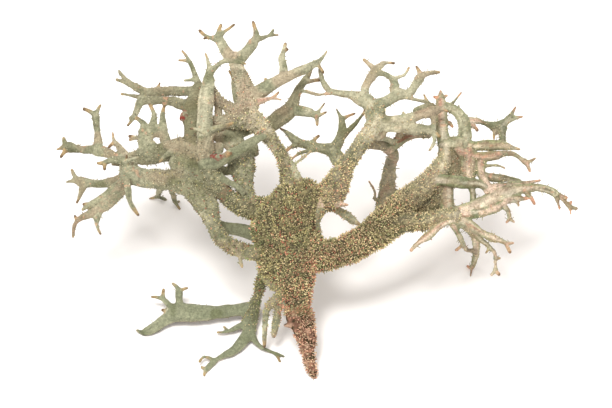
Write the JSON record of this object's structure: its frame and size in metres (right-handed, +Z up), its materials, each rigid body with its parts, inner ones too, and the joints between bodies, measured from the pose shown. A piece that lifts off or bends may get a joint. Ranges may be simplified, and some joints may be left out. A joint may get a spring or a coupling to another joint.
{
  "type": "lichen clump",
  "caption": "Grey-green lichen clump with a brown pointed holdfast, a thick warty trunk and flat fronds forked like antlers.",
  "frame": {"origin": "centre of the clump's bounding box, on the surface that it rests on", "axes": "+X to the right across the fronds, -Y towards the holdfast, +Z up"},
  "size_m": [0.0945, 0.0591, 0.0336],
  "materials": {
    "trunk": "matte, warty",
    "holdfast": "matte, bark-like",
    "fronds": "matte",
    "lying_frond": "matte, smooth"
  },
  "bodies": {
    "root": {"trunk": "trunk", "holdfast": "holdfast", "frond_right": "fronds", "frond_centre": "fronds", "frond_top": "fronds", "frond_left": "fronds", "frond_lying": "lying_frond"}
  },
  "joints": []
}
